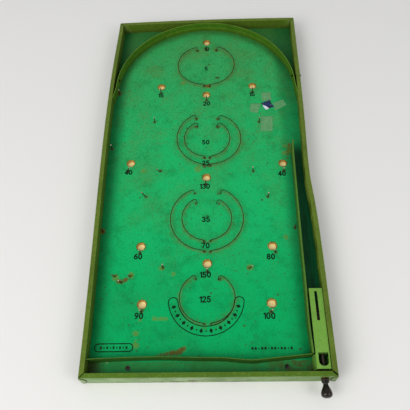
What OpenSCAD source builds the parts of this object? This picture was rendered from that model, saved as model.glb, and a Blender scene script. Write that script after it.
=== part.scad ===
// Tin-plate table-top bagatelle board: a shallow tray with a raised playfield,
// brass cups, nails, wire hoops and a spring plunger.
// Millimetres. X runs across the board, Y up the board, Z up from the table.
// Heights and places are given from the front face; on_board() moves them so that
// the origin is the middle of the front rail's underside.

/* [Tray] */
// Width of the tray over its side rails
board_w = 305; // [290:1:330]
// Length of the tray, front face to rear face
board_l = 610; // [608:0.5:614]
// Height of the rim above the table
rim_h = 27; // [25:0.5:32]
// Width of the folded rim
rim_w = 6; // [5:0.5:8]
// Thickness of the tin plate
sheet = 0.8; // [0.5:0.1:1.2]
// Height of the playfield's top face above the table
field_z = 9.5; // [8.5:0.5:12]
// Width of the lip folded in under each rail
lip_w = 6; // [4:0.5:8]
// Opening left at each mitred corner, per rail
mitre_gap = 0.8; // [0.4:0.1:1]

/* [Wear] */
// How far the left rail has bulged outwards
left_bulge = 5.4; // [0:0.2:6]
// How far the right rail has been dented inwards
right_dent = 5; // [0:0.2:6]
// Place of that dent, as a share of the length
dent_place = 0.467; // [0.4:0.01:0.6]
// How far the rear rail has bowed backwards
rear_bow = 2.2; // [1.6:0.1:3]

/* [Arch and strips] */
// Radius of the arch band's outer face
arch_r = 145; // [140:0.5:145]
// Depth of the rib rolled along the arch band
arch_rib = 1; // [0.6:0.1:1.4]
// Height of the arch band and strips above the playfield
strip_h = 17; // [14:0.5:17]

/* [Cups, hoops and nails] */
// Outer radius of a cup's tube
cup_r = 6; // [5.5:0.1:6.5]
// Depth of a cup below the playfield
cup_depth = 5; // [4.6:0.1:6]
// Radius of the hoop wire
wire_r = 0.6; // [0.5:0.05:0.8]
// Height of the hoop wire above the playfield
hoop_h = 5; // [4:0.5:8]
// Height of a nail above the playfield
nail_h = 12; // [9:0.5:14]

/* [Plunger] */
// Radius of the plunger rod
rod_r = 2.25; // [2:0.05:2.5]
// Height of the rod's axis above the table
rod_z = 17.4; // [17:0.1:18]
// Distance of the rod's axis from the middle of the board
rod_x = 138; // [137:0.2:138.6]
// Travel of the plunger
plunger_travel = 30; // [20:1:32]
// Length of the knob
knob_l = 21.5; // [18:0.5:26]

/* [Rear stand] */
// Length of the stand's legs
stand_l = 60; // [40:1:70]
// Radius of the stand's wire
stand_r = 2; // [1.5:0.1:2.2]

/* [Hidden] */
$fn = 64;
joint_gap = 0.3;
seat_gap = 0.05;

// Rails
side_steps = 40;
rear_steps = 24;
dent_above = 100;
dent_below = 48;
ledge_w = 2;
ear_w = 7;
ear_half = rim_h / 2 - 1;
ear_r = (ear_half * ear_half + ear_w * ear_w) / (2 * ear_w);
ear_fold = 0.4;
// The right rail's front mitre has opened further than the others
corner_gape = 0.9;
ledge_z = field_z - 2 * sheet;
field_under = field_z - sheet;
strip_top = field_z + strip_h;

// Arch band: centre of its half circle, and the length of its flared tails
arch_x = -2.5;
arch_y = board_l - 150.5;
arch_tail = 22;
arch_rib_half = 2.2;
rivet_y = board_l - 131;
rivet_z = 20;
rivet_r = 1.2;
rivet_head_r = 2.2;
rivet_head_h = 1.4;
rivet_dome = 2.6;

// Lane divider and bottom strip, as points across and up the board
DIVIDER = [[126.2, 27.5], [124.8, 66], [125.4, 110], [125.8, 178], [126.6, 250], [127.7, 325], [128.8, 344]];
BOTTOM = [[-146.2, 22.5], [-107, 23.8], [-63, 24.5], [-9, 23.2],
    [20, 22.6], [52, 19.8], [80, 22], [125, 26.2]];
strip_t = 1;
divider_t = 2.2;
divider_foot = [7, 11, sheet];
divider_foot_y = 331;

// Front fixing holes
front_hole_r = 2.5;
front_hole_y = 15.3;
front_hole_x = [-97.3, 95.8];
front_collar = 2.4;

// Cups: name, place of the cup, place of its nail from the cup's centre, nail's lean in X and Y
CUPS = [
    ["cup_10", [-0.3, 573.5], [-0.2, -18.5], [0, 0]],
    ["cup_15_left", [-75.5, 472], [-0.3, -12.8], [2, 0]],
    ["cup_15_right", [74.7, 469], [-0.6, -13], [0, 0]],
    ["cup_20", [-1, 452.5], [0.5, -12], [-2, 2]],
    ["cup_40_left", [-115.5, 319], [-2.9, -14.2], [12, -4]],
    ["cup_40_right", [112.9, 313], [0.3, -14.6], [0, -6]],
    ["cup_130", [-1.2, 290.5], [-1, -11.8], [0, 4]],
    ["cup_60", [-91.5, 179], [-0.8, -10], [4, 0]],
    ["cup_80", [88.7, 176.5], [3.4, -9.6], [-8, -4]],
    ["cup_150", [-0.2, 152], [0, -11.8], [0, 0]],
    ["cup_90", [-85.2, 96], [-0.1, -9.6], [-3, -8]],
    ["cup_100", [82.5, 95.4], [-1.4, -11.6], [6, -4]],
];
cup_wall = 0.4;
cup_flange_r = cup_r + 0.6;
cup_flange_t = 0.5;

// Hoop halves: name, side, centre, radius, and the angles from straight down where it starts and ends
HOOPS = [
    ["hoop_5_left", -1, [-4.4, 515.8], 44.2, 2, 158],
    ["hoop_5_right", 1, [0.2, 516], 45.9, 7, 152],
    ["hoop_50_left", -1, [-0.1, 360.6], 34.8, 9, 146],
    ["hoop_50_right", 1, [-0.1, 360.3], 35.1, 9, 143],
    ["hoop_25_left", -1, [5, 361.8], 51.4, 7, 148],
    ["hoop_25_right", 1, [3.6, 359.6], 48.3, 3, 156],
    ["hoop_35_left", -1, [0.1, 220.2], 35.6, 10, 146],
    ["hoop_35_right", 1, [0, 219.3], 34.3, 10, 147],
    ["hoop_70_left", -1, [-1.1, 220.2], 50.7, 6, 154],
    ["hoop_70_right", 1, [-0.7, 220.1], 51.5, 7, 151],
    ["hoop_125_left", -1, [-1.8, 102.9], 34.5, 7, 149],
    ["hoop_125_right", 1, [1.7, 102.6], 34, 7, 149],
];
hook_r = 3;
hook_turn = 105;
bend_r = 1.6;
foot_l = 3;
arc_steps = 34;
hook_steps = 6;
wire_sides = 8;
wire_z = field_z + hoop_h;
foot_z = field_under - bend_r;

// Loose-standing nails: place, lean in X and Y, height above the playfield
NAILS = [
    [[-83, 398], [2, 0], nail_h],
    [[82, 393], [0, 0], nail_h],
    [[-70.5, 303], [-19, -14], nail_h],
    [[68, 300], [-3, 0], nail_h],
    [[-90, 259.5], [-20, 6], nail_h],
    [[87.5, 255], [2, 0], nail_h],
    [[-60, 147], [2, 0], nail_h],
    [[56, 144.5], [18, -6], nail_h],
    [[-124, 135.5], [-9, -10], nail_h - 1],
    [[-103, 135.5], [-6, -18], nail_h - 2],
    [[-114.5, 126.5], [-9, -6], nail_h],
    [[17.5, 489], [20, -20], 5],
    [[-144.8, 459], [4, -4], nail_h],
    [[-146.8, 346.5], [0, 0], nail_h],
    [[-146.4, 203], [3, 0], nail_h - 2],
    [[121.4, 203.5], [0, 0], nail_h - 2],
];
nail_r = 0.75;
nail_head_r = 1.25;
nail_head_t = 0.7;
nail_below = 4;
nail_hole_r = nail_r + 0.3;

// Plunger cover
cover_x = [128.9, 145.4];
cover_y = [9, 108.8];
cover_top = field_z + 15.5;
cover_under = cover_top - sheet;
slot_x = 137;
slot_w = 3.6;
slot_end = 105;
slot_y = [slot_end - plunger_travel - 8, slot_end];
tab_w = 11.9;
tab_y = 28.1;
tab_l = 16;
tab_x = 137.8;
flap_l = 18;
flap_lean = 9;
leg_w = 8;

// Plunger: places along the rod, measured from the front face
bush_flange_r = 4.8;
bush_flange_t = 0.8;
bush_r = rod_r + 0.9;
bush_l = 3;
running_gap = 0.06;
knob_y = -bush_flange_t - joint_gap;
knob_bore = 12;
striker_y = [80, 88];
striker_r = 4.5;
spring_y = [tab_y + sheet, striker_y[0]];
spring_r = 3.4;
spring_wire = 0.45;
spring_turns = 13;
spring_steps = 18;

// Knob outline: distance from the front face as a share of its length, and radius
KNOB = [[0, 4.3], [0.05, 4.9], [0.14, 4.9], [0.2, 3.9], [0.27, 3], [0.36, 3.4],
        [0.5, 4.8], [0.64, 6.1], [0.78, 6.75], [0.9, 6.2], [0.97, 4.4], [1, 2.2]];

// Rear stand
stand_y = 560;
stand_z = 5;
stand_half = 90;
stand_end = 9;
clip_l = 6;
clip_r = stand_r + 1;

// Tape strips, by their corners, and the taped packet
TAPES = [
    [[88.5, 436], [104.4, 436.8], [103.4, 455], [88.4, 454]],
    [[70.4, 431], [87, 431], [80.5, 411.5], [68.6, 413.6]],
    [[105.6, 431.6], [123.2, 438], [127.2, 426], [108.6, 415.8]],
    [[85.8, 404.2], [104, 403.6], [101.8, 374.4], [83.2, 375]],
];
tape_t = 0.3;
packet_at = [97, 427];
packet_size = [15, 16, 2.6];
packet_turn = 24;

// --- Outlines ---

// Zero at both ends of a rail and one along its middle
function end_fade(t) = 1 - pow(abs(2 * t - 1), 8);

// Outer faces of the rails, with what wear has done to them
function left_face(y) =
    -board_w / 2 - left_bulge * sin(180 * pow(y / board_l, 1.6)) * end_fade(y / board_l);
function dent(v) = 1 / (1 + pow(v / (v > 0 ? dent_above : dent_below), 2));
function right_face(y) =
    board_w / 2 - right_dent * dent(y - dent_place * board_l) * end_fade(y / board_l);
function rear_face(x) = board_l + rear_bow * sin(180 * (x / board_w + 0.5));

// Lines at depth d inside the outer faces; each ends on the mitre, less the gap
function side_y(i, d, gape = 0) =
    d + mitre_gap + gape + (board_l - 2 * (d + mitre_gap) - gape) * i / side_steps;
function end_x(i, d) = (board_w - 2 * (d + mitre_gap)) * (i / rear_steps - 0.5);
left_line = function (d) [for (i = [0:side_steps]) let (y = side_y(i, d)) [left_face(y) + d, y]];
right_line = function (d) [
    for (i = [0:side_steps]) let (y = side_y(i, d, corner_gape)) [right_face(y) - d, y]
];
rear_line = function (d) [for (i = [0:rear_steps]) let (x = end_x(i, d)) [x, rear_face(x) - d]];
front_line = function (d) [[end_x(0, d), d], [end_x(rear_steps, d), d]];

function turned_over(p) = [for (i = [len(p) - 1:-1:0]) p[i]];

// A smooth curve through hand-placed points
function blend(a, b, c, d, t) =
    0.5 * (2 * b + (c - a) * t + (2 * a - 5 * b + 4 * c - d) * t * t + (3 * b - a - 3 * c + d) * t * t * t);
function curve(p, steps) = concat(
    [for (i = [0:len(p) - 2])
        for (k = [0:steps - 1])
            blend(p[max(i - 1, 0)], p[i], p[i + 1], p[min(i + 2, len(p) - 1)], k / steps)],
    [p[len(p) - 1]]
);

// The outline of a thin strip that follows a curve
function unit(v) = v / norm(v);
function across(p, i) =
    let (d = unit(p[min(i + 1, len(p) - 1)] - p[max(i - 1, 0)]))
        [-d.y, d.x];
function ribbon(p, t) = concat(
    [for (i = [0:len(p) - 1]) p[i] + across(p, i) * t / 2],
    [for (i = [len(p) - 1:-1:0]) p[i] - across(p, i) * t / 2]
);

// Where a hoop half's wire goes down through the playfield
function dir(a) = [cos(a), sin(a)];
function on_side(h, p) = [h[2].x + h[1] * p.x, h[2].y + p.y];
function low_end(h) = h[3] * dir(h[4] - 90);
function hook_centre(h) = (h[3] - hook_r) * dir(h[5] - 90);
function hook_end(h) = hook_centre(h) + hook_r * dir(h[5] - 90 + hook_turn);
function low_hole(h) = on_side(h, low_end(h) + bend_r * dir(h[4] - 180));
function hook_hole(h) = on_side(h, hook_end(h) + bend_r * dir(h[5] + hook_turn));

// A half's path about its own centre: foot, leg, arc, hook, leg, foot
function flat_arc(centre, r, from, to, steps) = [
    for (i = [0:steps])
        let (p = centre + r * dir(from + (to - from) * i / steps))
            [p.x, p.y, wire_z]
];
function leg_path(at, heading) = [
    for (q = concat(
        [for (a = [30:30:90]) [bend_r * sin(a), wire_z - bend_r * (1 - cos(a))]],
        [for (a = [0:30:90]) [bend_r * cos(a), foot_z + bend_r * (1 - sin(a))]],
        [[-foot_l, foot_z]]
    )) [at.x + q.x * cos(heading), at.y + q.x * sin(heading), q.y]
];
function half_path(h) =
    let (top = h[5] - 90)
        concat(
            turned_over(leg_path(low_end(h), h[4] - 180)),
            flat_arc([0, 0], h[3], h[4] - 90, top, arc_steps),
            flat_arc(hook_centre(h), hook_r, top + hook_turn / hook_steps, top + hook_turn, hook_steps - 1),
            leg_path(hook_end(h), top + hook_turn + 90)
        );

// Directions along a path, and a side direction carried along it without twist
function along(path) = [
    for (i = [0:len(path) - 1]) unit(path[min(i + 1, len(path) - 1)] - path[max(i - 1, 0)])
];
function carried(way, n, i = 0) =
    i == len(way) ? [] : let (m = unit(n - (n * way[i]) * way[i])) concat([m], carried(way, m, i + 1));

// --- Shared shapes ---

module on_board() {
    translate([0, -lip_w / 2, 0]) children();
}

module slab(z0, z1, outline) {
    translate([0, 0, z0]) linear_extrude(z1 - z0) polygon(outline);
}

// Round wire along a path
module wire(path, r, sides) {
    n = len(path);
    way = along(path);
    side = carried(way, cross(way[0], [0.2, 0.4, 1]));
    rings = [
        for (i = [0:n - 1])
            for (k = [0:sides - 1])
                let (a = 360 * k / sides)
                    path[i] + r * (cos(a) * side[i] + sin(a) * cross(way[i], side[i]))
    ];
    skin = [
        for (i = [0:n - 2])
            for (k = [0:sides - 1])
                let (m = (k + 1) % sides)
                    [i * sides + k, (i + 1) * sides + k, (i + 1) * sides + m, i * sides + m]
    ];
    ends = [[for (k = [0:sides - 1]) k], [for (k = [sides - 1:-1:0]) (n - 1) * sides + k]];
    polyhedron(points = rings, faces = concat(skin, ends));
}

// A round bar along Y, from y0 to y1
module bar(y0, y1, r) {
    translate([0, y0, 0]) rotate([-90, 0, 0]) cylinder(h = y1 - y0, r = r);
}

// A round drill straight down through the playfield and its collars
module drill(at, r) {
    translate([at.x, at.y, field_z - front_collar - 1]) cylinder(h = field_z, r = r);
}

// --- Rails ---

// Outer wall, rim, inner wall, ledge under the playfield and lip on the table
module rail(line) {
    slab(0, rim_h, concat(line(0), turned_over(line(sheet))));
    slab(rim_h - sheet, rim_h, concat(line(0), turned_over(line(rim_w))));
    slab(ledge_z, rim_h, concat(line(rim_w - sheet), turned_over(line(rim_w))));
    slab(ledge_z, field_under, concat(line(rim_w - sheet), turned_over(line(rim_w + ledge_w))));
    slab(0, sheet, concat(line(0), turned_over(line(lip_w))));
}

// Round-ended tab of a side rail, folded round the corner onto the front face
module ear(side) {
    translate([side * board_w / 2, 0, rim_h / 2]) {
        intersection() {
            translate([side * (ear_r - ear_w), 0, 0]) rotate([90, 0, 0]) cylinder(h = sheet, r = ear_r);
            translate([-ear_w, -sheet, -ear_half]) cube([2 * ear_w, sheet, 2 * ear_half]);
            translate([side < 0 ? 0 : -ear_w, -sheet, -ear_half]) cube([ear_w, sheet, 2 * ear_half]);
        }
        translate([side < 0 ? 0 : -ear_fold, -sheet, -ear_half])
            cube([ear_fold, sheet + mitre_gap + max(0, side * corner_gape) + seat_gap, 2 * ear_half]);
    }
}

module side_rail(line, side) {
    color("olivedrab") on_board() difference() {
        union() {
            rail(line);
            ear(side);
        }
        translate([side * board_w / 2, rivet_y, rivet_z]) rotate([0, 90, 0])
            cylinder(h = 6 * rim_w, r = rivet_r + seat_gap, center = true);
    }
}

module left_rail() {
    side_rail(left_line, -1);
}

module right_rail() {
    side_rail(right_line, 1);
}

module rear_rail() {
    color("olivedrab") on_board() rail(rear_line);
}

module front_rail() {
    color("darkseagreen") on_board() difference() {
        rail(front_line);
        translate([rod_x, 0, rod_z]) bar(-1, rim_w + 1, bush_r + seat_gap);
    }
}

// --- Playfield ---

module playfield() {
    edge = rim_w + seat_gap;
    color("mediumseagreen") on_board() difference() {
        union() {
            slab(field_under, field_z, concat(
                left_line(edge), rear_line(edge),
                turned_over(right_line(edge)), turned_over(front_line(edge))
            ));
            for (x = front_hole_x)
                translate([x, front_hole_y, field_z - front_collar])
                    cylinder(h = front_collar, r = front_hole_r + sheet);
        }
        for (x = front_hole_x) drill([x, front_hole_y], front_hole_r);
        for (c = CUPS) {
            drill(c[1], cup_r + seat_gap);
            drill(c[1] + c[2], nail_hole_r);
        }
        for (n = NAILS) drill(n[0], nail_hole_r);
        for (h = HOOPS) {
            drill(low_hole(h), wire_r + seat_gap);
            drill(hook_hole(h), wire_r + seat_gap);
        }
    }
}

// --- Arch band and its rivets ---

// Cross-section of the band: plain strip with one rib rolled outwards
module arch_section() {
    rib_z = strip_h / 2;
    rib = [[0, rib_z - arch_rib_half], [arch_rib, rib_z], [0, rib_z + arch_rib_half]];
    face = concat([[0, 0]], rib, [[0, strip_h]]);
    inner = [for (p = face) p - [sheet, 0]];
    polygon(concat(face, turned_over(inner)));
}

// Straight tail that flares from the half circle out to the rail
module arch_flare(side, wall) {
    x0 = side * arch_r;
    t = side * sheet;
    slab(0, strip_h, [[x0 - t, 0], [x0, 0], [wall, -arch_tail], [wall - t, -arch_tail]]);
}

module arch_band() {
    tail_y = arch_y - arch_tail;
    color("olivedrab") on_board() difference() {
        translate([arch_x, arch_y, field_z]) {
            rotate_extrude(angle = 180, $fn = 120) translate([arch_r, 0]) arch_section();
            arch_flare(1, right_face(tail_y) - rim_w - seat_gap - arch_x);
            arch_flare(-1, left_face(tail_y) + rim_w + seat_gap - arch_x);
        }
        for (side = [-1, 1])
            translate([side * arch_r, rivet_y, rivet_z]) rotate([0, 90, 0])
                cylinder(h = 6 * rim_w, r = rivet_r + seat_gap, center = true);
    }
}

module rivet_head(x, side) {
    translate([x, 0, 0]) rotate([0, 90 * side, 0]) {
        intersection() {
            translate([0, 0, rivet_head_h - rivet_dome]) sphere(r = rivet_dome);
            cylinder(h = rivet_head_h, r = rivet_head_r);
        }
    }
}

module arch_rivets() {
    band_half = sqrt(pow(arch_r - sheet, 2) - pow(rivet_y - arch_y, 2));
    color("saddlebrown") on_board() for (side = [-1, 1]) {
        outer = side < 0 ? left_face(rivet_y) : right_face(rivet_y);
        inner = arch_x + side * band_half;
        translate([0, rivet_y, rivet_z]) {
            translate([min(outer, inner - 1), 0, 0]) rotate([0, 90, 0])
                cylinder(h = abs(outer - inner) + 1, r = rivet_r);
            rivet_head(outer + side * seat_gap, side);
            rivet_head(inner - side * 0.6, -side);
        }
    }
}

// --- Strips that stand on the playfield ---

module lane_divider() {
    color("yellowgreen") on_board() {
        slab(field_z, strip_top, ribbon(curve(DIVIDER, 6), divider_t));
        translate([DIVIDER[6].x - divider_foot[0] - 0.5, divider_foot_y, field_z]) cube(divider_foot);
    }
}

module bottom_strip() {
    color("olivedrab") on_board() slab(field_z, strip_top, ribbon(curve(BOTTOM, 6), strip_t));
}

// --- Plunger cover: plate, bent-down bearing tab, side flap and legs ---

module cover_leg(x, y, l) {
    translate([x, y, field_z]) cube([sheet, l, cover_under - field_z + seat_gap]);
}

// U-shaped piece cut on three sides out of the plate
module tab_cut() {
    translate([tab_x - tab_w / 2, tab_y - tab_l + tab_w / 2, cover_under - 1])
        cube([tab_w, tab_l - tab_w / 2, sheet + 2]);
    translate([tab_x, tab_y - tab_l + tab_w / 2, cover_under - 1]) cylinder(h = sheet + 2, d = tab_w);
}

module bearing_tab() {
    drop = tab_l - tab_w / 2;
    difference() {
        intersection() {
            union() {
                translate([tab_x - tab_w / 2, tab_y, cover_top - drop]) cube([tab_w, sheet, drop]);
                translate([tab_x, tab_y, cover_top - drop]) rotate([-90, 0, 0])
                    cylinder(h = sheet, d = tab_w);
            }
            translate([cover_x[0], tab_y, field_z + seat_gap])
                cube([cover_x[1] - cover_x[0], sheet, cover_top - field_z - seat_gap]);
        }
        translate([rod_x, 0, rod_z]) bar(tab_y - 1, tab_y + 2, rod_r + running_gap);
    }
}

module plunger_cover() {
    w = cover_x[1] - cover_x[0];
    l = cover_y[1] - cover_y[0];
    drop = cover_top - field_z;
    color("yellowgreen") on_board() {
        difference() {
            translate([cover_x[0], cover_y[0], cover_under]) cube([w, l, sheet]);
            tab_cut();
            translate([slot_x - slot_w / 2, slot_y[0], cover_under - 1])
                cube([slot_w, slot_y[1] - slot_y[0], sheet + 2]);
        }
        bearing_tab();
        intersection() {
            translate([cover_x[0], cover_y[0], cover_top]) rotate([0, flap_lean, 0])
                translate([0, 0, -2 * drop]) cube([sheet, flap_l, 2 * drop]);
            translate([0, 0, field_z]) cube([board_w, board_l, drop - seat_gap]);
        }
        cover_leg(cover_x[1] - sheet, cover_y[0], 2 * leg_w);
        cover_leg(cover_x[1] - sheet, cover_y[1] - leg_w, leg_w);
        cover_leg(cover_x[0], cover_y[1] - leg_w, leg_w);
    }
}

// --- Plunger ---

module on_rod_axis() {
    on_board() translate([rod_x, 0, rod_z]) children();
}

module front_bush() {
    color("sienna") on_rod_axis() difference() {
        union() {
            bar(-bush_flange_t, 0, bush_flange_r);
            bar(0, bush_l, bush_r);
        }
        bar(-5, 10, rod_r + running_gap);
    }
}

module plunger_rod() {
    color("dimgray") on_rod_axis() bar(knob_y - knob_bore, striker_y[1] - 2, rod_r);
}

module striker_head() {
    color("darkslategray") on_rod_axis() difference() {
        union() {
            bar(striker_y[0], striker_y[1] - 1.5, striker_r);
            translate([0, striker_y[1] - 1.5, 0]) rotate([-90, 0, 0])
                cylinder(h = 1.5, r1 = striker_r, r2 = striker_r - 1.5);
        }
        bar(striker_y[0] - 1, striker_y[1] - 2, rod_r);
    }
}

module knob() {
    outline = concat([[0, 0]], curve([for (k = KNOB) [k[1], k[0] * knob_l]], 4), [[0, knob_l]]);
    color("darkslategray") on_rod_axis() difference() {
        translate([0, knob_y, 0]) rotate([90, 0, 0]) rotate_extrude() polygon(outline);
        bar(knob_y - knob_bore, knob_y + 1, rod_r);
    }
}

// Round wire wound into a coil, from the tab to the striker head
module plunger_spring() {
    n = spring_turns * spring_steps;
    first = spring_y[0] + spring_wire;
    last = spring_y[1] - spring_wire;
    path = [
        for (i = [0:n])
            let (p = spring_r * dir(360 * i / spring_steps))
                [p.x, first + (last - first) * i / n, p.y]
    ];
    color("gray") on_rod_axis() wire(path, spring_wire, wire_sides);
}

// --- Cups and nails ---

module cup(c) {
    floor_z = field_z - cup_depth;
    color("gold") on_board() translate([c[1].x, c[1].y, 0]) difference() {
        union() {
            translate([0, 0, floor_z]) cylinder(h = cup_depth, r = cup_r);
            translate([0, 0, field_z])
                cylinder(h = cup_flange_t, r1 = cup_flange_r, r2 = cup_flange_r - 0.3);
        }
        translate([0, 0, floor_z + cup_wall]) cylinder(h = cup_depth + 2, r = cup_r - cup_wall);
    }
}

module nail(at, lean, h) {
    translate([at.x, at.y, field_under + sheet / 2]) rotate([-lean.y, lean.x, 0]) {
        translate([0, 0, -nail_below]) cylinder(h = h + nail_below, r = nail_r);
        translate([0, 0, h - nail_head_t]) cylinder(h = nail_head_t, r = nail_head_r);
    }
}

module cup_nails() {
    color("saddlebrown") on_board() for (c = CUPS) nail(c[1] + c[2], c[3], nail_h);
}

module field_nails() {
    color("saddlebrown") on_board() for (n = NAILS) nail(n[0], n[1], n[2]);
}

// --- Wire hoops ---

module hoop(h) {
    path = [for (p = half_path(h)) [h[2].x + h[1] * p.x, h[2].y + p.y, p.z]];
    color("saddlebrown") on_board() wire(path, wire_r, wire_sides);
}

// --- Folding rear stand ---

module stand_bar(from, to) {
    translate(from) rotate(from.y == to.y ? [0, 90, 0] : [90, 0, 0])
        cylinder(h = norm(to - from), r = stand_r);
}

module rear_stand() {
    tip = stand_half + stand_end;
    color("gray") on_board() translate([0, stand_y, stand_z]) {
        stand_bar([-stand_half, -stand_l, 0], [stand_half, -stand_l, 0]);
        for (side = [-1, 1]) {
            stand_bar([side * stand_half, 0, 0], [side * stand_half, -stand_l, 0]);
            translate([side * stand_half, 0, 0]) sphere(r = stand_r);
            translate([side * stand_half, -stand_l, 0]) sphere(r = stand_r);
        }
        stand_bar([-tip, 0, 0], [-stand_half, 0, 0]);
        stand_bar([stand_half, 0, 0], [tip, 0, 0]);
    }
}

// Tin clips soldered under the playfield
module stand_clips() {
    first = stand_half + stand_r + joint_gap;
    color("olivedrab") on_board() for (side = [-1, 1])
        translate([side * (first + clip_l / 2), stand_y, 0]) difference() {
            union() {
                translate([0, 0, stand_z]) rotate([0, 90, 0])
                    cylinder(h = clip_l, r = clip_r, center = true);
                translate([-clip_l / 2, -clip_r, stand_z])
                    cube([clip_l, 2 * clip_r, field_under - stand_z]);
            }
            translate([0, 0, stand_z]) rotate([0, 90, 0])
                cylinder(h = 2 * clip_l, r = stand_r + running_gap, center = true);
        }
}

// --- What has been taped to the board ---

module tape_strips() {
    color("palegreen") on_board() for (t = TAPES) slab(field_z, field_z + tape_t, t);
}

module taped_packet() {
    color("midnightblue") on_board()
        translate([packet_at.x, packet_at.y, field_z + tape_t]) rotate([0, 0, packet_turn])
            translate([-packet_size[0] / 2, -packet_size[1] / 2, 0]) cube(packet_size);
}

front_rail();
rear_rail();
left_rail();
right_rail();
playfield();
arch_band();
arch_rivets();
lane_divider();
bottom_strip();
plunger_cover();
front_bush();
plunger_rod();
striker_head();
plunger_spring();
knob();
cup_nails();
field_nails();
rear_stand();
stand_clips();
tape_strips();
taped_packet();
for (c = CUPS) cup(c);
for (h = HOOPS) hoop(h);
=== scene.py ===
import math
from functools import reduce

import bmesh
import bpy
import numpy as np
from mathutils import Matrix, Vector


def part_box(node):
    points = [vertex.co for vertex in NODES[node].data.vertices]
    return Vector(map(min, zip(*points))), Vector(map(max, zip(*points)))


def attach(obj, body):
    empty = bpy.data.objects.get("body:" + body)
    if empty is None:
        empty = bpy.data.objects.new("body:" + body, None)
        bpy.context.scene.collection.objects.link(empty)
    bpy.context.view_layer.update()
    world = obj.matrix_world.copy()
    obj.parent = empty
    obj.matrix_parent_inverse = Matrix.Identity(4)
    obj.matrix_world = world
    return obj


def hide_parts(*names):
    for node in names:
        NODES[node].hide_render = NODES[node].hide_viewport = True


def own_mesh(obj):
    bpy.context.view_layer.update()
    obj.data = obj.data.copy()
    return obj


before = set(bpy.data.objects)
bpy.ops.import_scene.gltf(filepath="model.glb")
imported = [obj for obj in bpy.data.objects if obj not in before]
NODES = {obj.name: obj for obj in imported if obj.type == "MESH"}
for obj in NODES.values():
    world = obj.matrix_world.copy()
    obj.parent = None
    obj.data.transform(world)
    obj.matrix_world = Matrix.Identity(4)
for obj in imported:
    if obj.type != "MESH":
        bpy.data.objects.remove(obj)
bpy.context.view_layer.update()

MM = 0.001

# The board's own measures, in millimetres. Places on the board count from its front face.
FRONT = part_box("front_rail")[0].y / MM
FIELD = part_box("playfield")[1].z / MM
SEED = np.random.default_rng(1950)


def on_board(x, y, z=0.0):
    """A place on the board, in the frame's metres."""
    return Vector((x * MM, (y + FRONT) * MM, z * MM))


def new_object(name, data):
    made = bpy.data.objects.new(name, data)
    bpy.context.scene.collection.objects.link(made)
    return made


# --- Camera and light ---

CAMERA_AT = Vector((0.02327, -0.1358, 0.65042))
LOOK_AT = Vector((-0.0037, 0.2460, 0.0))
CAMERA_ROLL = math.radians(-4.68)
LENS = 45.54
SENSOR = 36.0


def make_camera():
    data = bpy.data.cameras.new("camera")
    data.lens = LENS
    data.sensor_width = SENSOR
    data.clip_start = 0.01
    data.clip_end = 50
    camera = new_object("camera", data)
    ahead = (LOOK_AT - CAMERA_AT).normalized()
    level = ahead.cross(Vector((0, 0, 1))).normalized()
    upright = level.cross(ahead)
    right = math.cos(CAMERA_ROLL) * level + math.sin(CAMERA_ROLL) * upright
    up = right.cross(ahead)
    turn = Matrix((right, up, -ahead)).transposed()
    camera.matrix_world = Matrix.Translation(CAMERA_AT) @ turn.to_4x4()
    bpy.context.scene.camera = camera


def area_light(name, at, look, size, power):
    data = bpy.data.lights.new(name, "AREA")
    data.shape = "RECTANGLE"
    data.size, data.size_y = size
    data.energy = power
    light = new_object(name, data)
    light.location = at
    light.rotation_euler = (Vector(look) - Vector(at)).to_track_quat("-Z", "Y").to_euler()


def colour(r, g, b):
    """An everyday 0-255 colour as the linear one that shaders use."""
    def linear(v):
        v /= 255
        return v / 12.92 if v <= 0.04045 else ((v + 0.055) / 1.055) ** 2.4
    return (linear(r), linear(g), linear(b), 1.0)


# --- Procedural materials ---


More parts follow.
